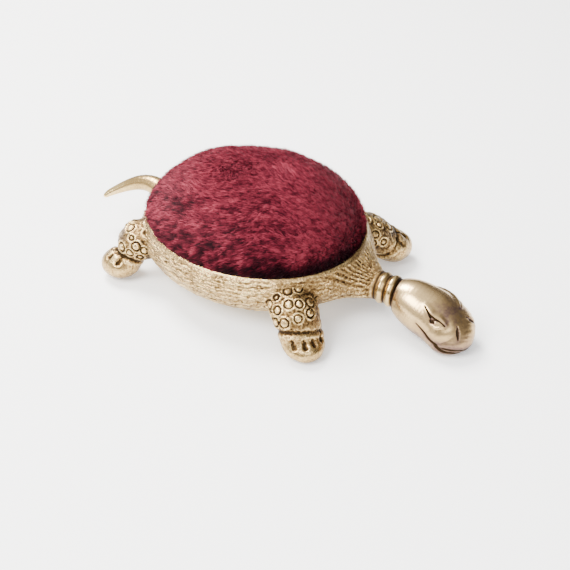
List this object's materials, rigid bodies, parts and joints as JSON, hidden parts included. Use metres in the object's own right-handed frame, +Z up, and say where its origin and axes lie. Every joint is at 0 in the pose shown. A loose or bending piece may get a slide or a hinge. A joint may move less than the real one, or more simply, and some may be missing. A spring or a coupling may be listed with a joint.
{
  "type": "turtle pincushion with tape measure",
  "caption": "Cast gold-tone turtle with a plush pincushion shell and a head that pulls a spring-return tape measure out of the body",
  "frame": {"origin": "on the table under the middle of the turtle's whole length and width", "axes": "+X towards the head, +Y to the turtle's left, +Z up"},
  "size_m": [0.1305, 0.069, 0.0366],
  "materials": {
    "cast_gold": "gold-tone plated zinc casting, engraved, brown patina in the recesses",
    "polished_gold": "gold-tone plated zinc casting, polished, darker patina patches",
    "brass_sheet": "plain brushed brass sheet",
    "steel": "plain turned or drawn steel",
    "tinplate": "pressed tinplate",
    "tape": "coated cloth tape with printed divisions",
    "velvet": "deep crimson plush with a combed pile",
    "wadding": "packed wool wadding",
    "card": "grey board",
    "thread": "waxed linen thread"
  },
  "bodies": {
    "body": {"body_casting": "cast_gold", "base_plate": "brass_sheet", "base_screw_1": "steel", "base_screw_2": "steel", "base_screw_3": "steel", "case_cup": "tinplate", "case_lid": "tinplate", "spindle": "steel", "guide_pin_left": "steel", "guide_pin_right": "steel", "cushion_board": "card", "cushion_filling": "wadding", "velvet_cover": "velvet", "gather_thread": "thread"},
    "reel": {"spool": "tinplate", "spool_flange": "tinplate", "tape_coil": "tape", "mainspring": "steel"},
    "head": {"head_casting": "polished_gold", "tape_set_pin": "steel", "tape_strip": "tape"}
  },
  "joints": [
    {"name": "head_pull", "type": "slide", "parent": "body", "child": "head", "axis": [1, 0, 0], "range_m": [0, 1.5], "stiffness_N_per_m": 0.5, "springref_m": -2, "deforming": ["tape_strip"]},
    {"name": "reel_spin", "type": "hinge", "parent": "body", "child": "reel", "pos_m": [-0.0118, -0.003, 0.0118], "axis": [0, 0, 1], "continuous": true, "deforming": ["mainspring"]}
  ],
  "couplings": [
    {"joint": "reel_spin", "follows": "head_pull", "rad_per_m": -97}
  ]
}
